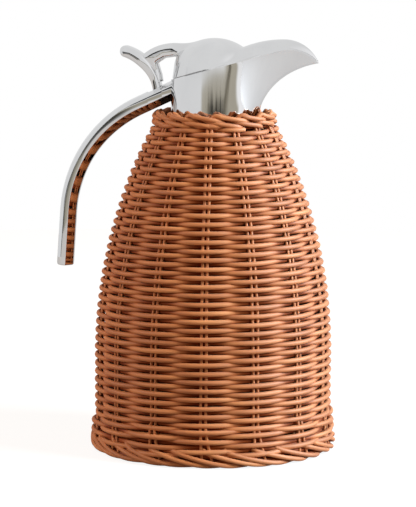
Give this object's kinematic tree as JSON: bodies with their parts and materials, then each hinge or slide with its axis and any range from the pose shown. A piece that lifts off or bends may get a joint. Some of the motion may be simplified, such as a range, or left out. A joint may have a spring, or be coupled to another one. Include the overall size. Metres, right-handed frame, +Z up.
{
  "type": "insulated jug",
  "caption": "Insulated pouring jug: vacuum flask in a woven cane sleeve, polished collar with a beak spout, open-ended handle and hinged lid with a thumb lever.",
  "frame": {"origin": "on the jug's axis, in the plane that its foot stands on", "axes": "+Z up along the jug's axis, +X towards the spout, -X towards the handle"},
  "size_m": [0.1962, 0.17, 0.28],
  "materials": {
    "polished_chrome": "polished",
    "woven_cane": "satin lacquer over stained cane",
    "flask_steel": "brushed",
    "screw_steel": "bright",
    "dark_plastic": "fine matt",
    "silicone": "matt"
  },
  "bodies": {
    "pot": {"collar": "polished_chrome", "handle": "polished_chrome", "hinge_pin": "polished_chrome", "wicker_wall": "woven_cane", "wicker_top_border": "woven_cane", "wicker_foot_band": "woven_cane", "wicker_foot_border": "woven_cane", "wicker_base": "woven_cane", "outer_jacket": "flask_steel", "jacket_base": "flask_steel", "vacuum_seal_cap": "flask_steel", "inner_vessel": "flask_steel", "handle_screws": "screw_steel", "neck_ring": "dark_plastic", "neck_gasket": "silicone"},
    "lid": {"lid_cover": "polished_chrome", "lid_liner": "dark_plastic", "stopper": "dark_plastic", "stopper_seal": "silicone", "stopper_screw": "screw_steel", "thumb_lever": "polished_chrome", "lever_screw": "screw_steel"}
  },
  "joints": [
    {"name": "lid_hinge", "type": "hinge", "parent": "pot", "child": "lid", "pos_m": [-0.0405, 0, 0.242], "axis": [0, -1, 0], "range_deg": [0, 50]}
  ]
}
